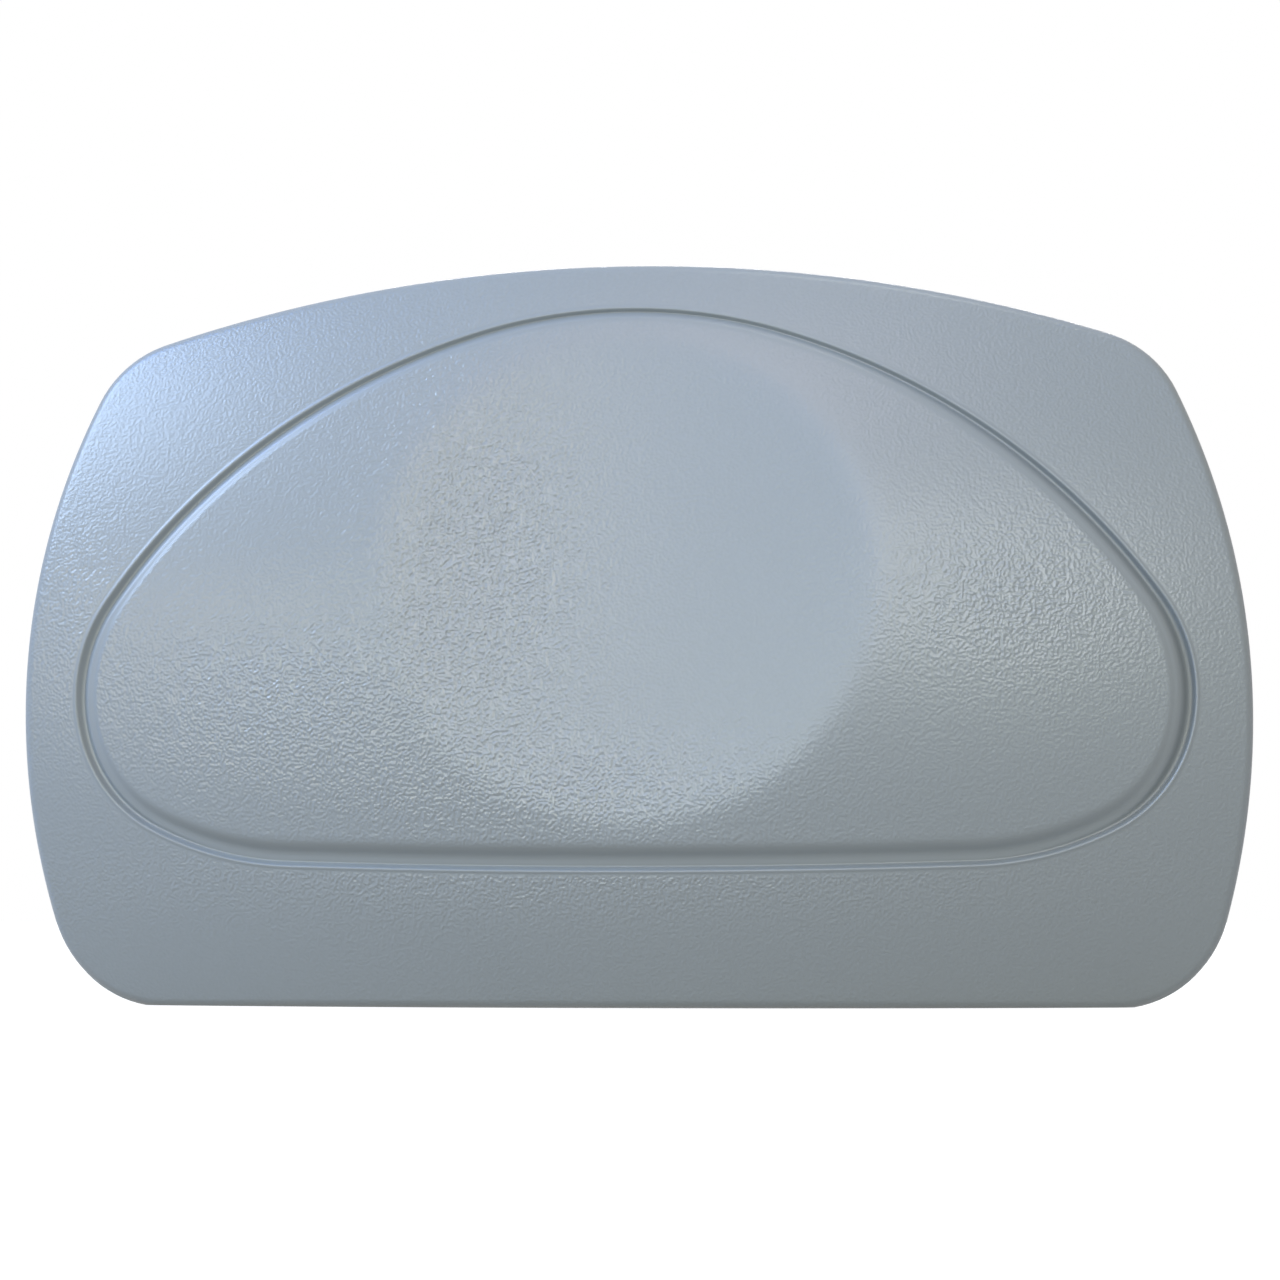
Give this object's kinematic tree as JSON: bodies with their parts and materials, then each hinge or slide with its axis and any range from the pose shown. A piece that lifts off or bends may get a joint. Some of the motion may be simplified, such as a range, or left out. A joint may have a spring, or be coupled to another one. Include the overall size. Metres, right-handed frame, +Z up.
{
  "type": "bath pillow",
  "caption": "Wide arched bath headrest: a domed face with a D-shaped groove and a round head dish, on suction cups that spin in snap sockets.",
  "frame": {"origin": "centre of the wall plane that the four suction cups seal on, in line with the middle of the pad", "axes": "+X along the width to the right as seen from the front, +Z up the wall, +Y back into the wall; the face looks along -Y"},
  "size_m": [0.34, 0.048, 0.206],
  "materials": {
    "grained_skin": "polyurethane skin moulded with a fine pebble grain, satin",
    "smooth_skin": "polyurethane skin, smooth and matt",
    "foam": "soft polyurethane foam, open cells",
    "plate": "moulded polypropylene, natural",
    "socket": "moulded acetal, natural white",
    "suction_cup": "clear soft vinyl, glossy and faintly blue"
  },
  "bodies": {
    "pillow": {"front_skin": "grained_skin", "back_skin": "smooth_skin", "foam_core": "foam", "insert_plate": "plate", "cup_socket_top_left": "socket", "cup_socket_top_right": "socket", "cup_socket_bottom_left": "socket", "cup_socket_bottom_right": "socket"},
    "cup_top_left": {"suction_cup_top_left": "suction_cup"},
    "cup_top_right": {"suction_cup_top_right": "suction_cup"},
    "cup_bottom_left": {"suction_cup_bottom_left": "suction_cup"},
    "cup_bottom_right": {"suction_cup_bottom_right": "suction_cup"}
  },
  "joints": [
    {"name": "cup_spin_top_left", "type": "hinge", "parent": "pillow", "child": "cup_top_left", "pos_m": [-0.09, 0, 0.048], "axis": [0, 1, 0], "continuous": true},
    {"name": "cup_spin_top_right", "type": "hinge", "parent": "pillow", "child": "cup_top_right", "pos_m": [0.09, 0, 0.048], "axis": [0, 1, 0], "continuous": true},
    {"name": "cup_spin_bottom_left", "type": "hinge", "parent": "pillow", "child": "cup_bottom_left", "pos_m": [-0.09, 0, -0.048], "axis": [0, 1, 0], "continuous": true},
    {"name": "cup_spin_bottom_right", "type": "hinge", "parent": "pillow", "child": "cup_bottom_right", "pos_m": [0.09, 0, -0.048], "axis": [0, 1, 0], "continuous": true}
  ]
}
